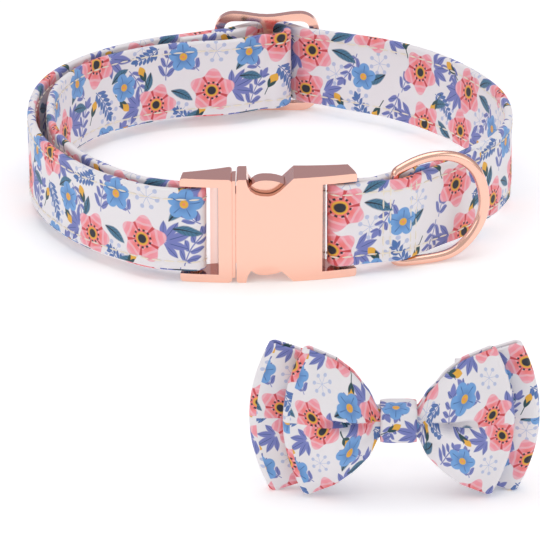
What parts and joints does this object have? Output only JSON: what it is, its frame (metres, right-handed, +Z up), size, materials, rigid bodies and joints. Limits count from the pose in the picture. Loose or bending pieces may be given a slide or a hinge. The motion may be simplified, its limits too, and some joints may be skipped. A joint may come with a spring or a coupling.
{
  "type": "pet bow tie collar",
  "caption": "Adjustable printed cloth pet collar with a metal side release buckle, lead ring and slider, and its slip-on bow tie standing beside it.",
  "frame": {"origin": "middle of the underside of the collar and the bow tie together, on the surface they stand on", "axes": "+Z up, +Y from the bow tie through the buckle to the slider, +X to the right of the buckle's outer face"},
  "size_m": [0.1432, 0.2998, 0.0395],
  "materials": {
    "printed_cloth": "woven cotton with a floral print",
    "rose_metal": "polished rose gold plating",
    "elastic": "plain woven elastic"
  },
  "bodies": {
    "collar": {"strap": "printed_cloth", "buckle_socket": "rose_metal", "buckle_plug": "rose_metal", "slider": "rose_metal", "bow_front": "printed_cloth", "bow_rear": "printed_cloth", "bow_knot": "printed_cloth", "elastic_left": "elastic", "elastic_right": "elastic"},
    "ring": {"d_ring": "rose_metal"},
    "upper_lever": {"lever_top": "rose_metal"},
    "lower_lever": {"lever_bottom": "rose_metal"}
  },
  "joints": [
    {"name": "ring_swing", "type": "hinge", "parent": "collar", "child": "ring", "pos_m": [0.03503, 0.00741, 0.01545], "axis": [0, 0, 1], "range_deg": [-120, 8]},
    {"name": "upper_lever_press", "type": "hinge", "parent": "collar", "child": "upper_lever", "pos_m": [0.00948, 0.00357, 0.02585], "axis": [0, -1, 0], "range_deg": [0, 7], "stiffness_Nm_per_rad": 0.05, "springref_deg": -2.86},
    {"name": "lower_lever_press", "type": "hinge", "parent": "collar", "child": "lower_lever", "pos_m": [0.00948, 0.00357, 0.00505], "axis": [0, 1, 0], "range_deg": [0, 7], "stiffness_Nm_per_rad": 0.05, "springref_deg": -2.86}
  ]
}
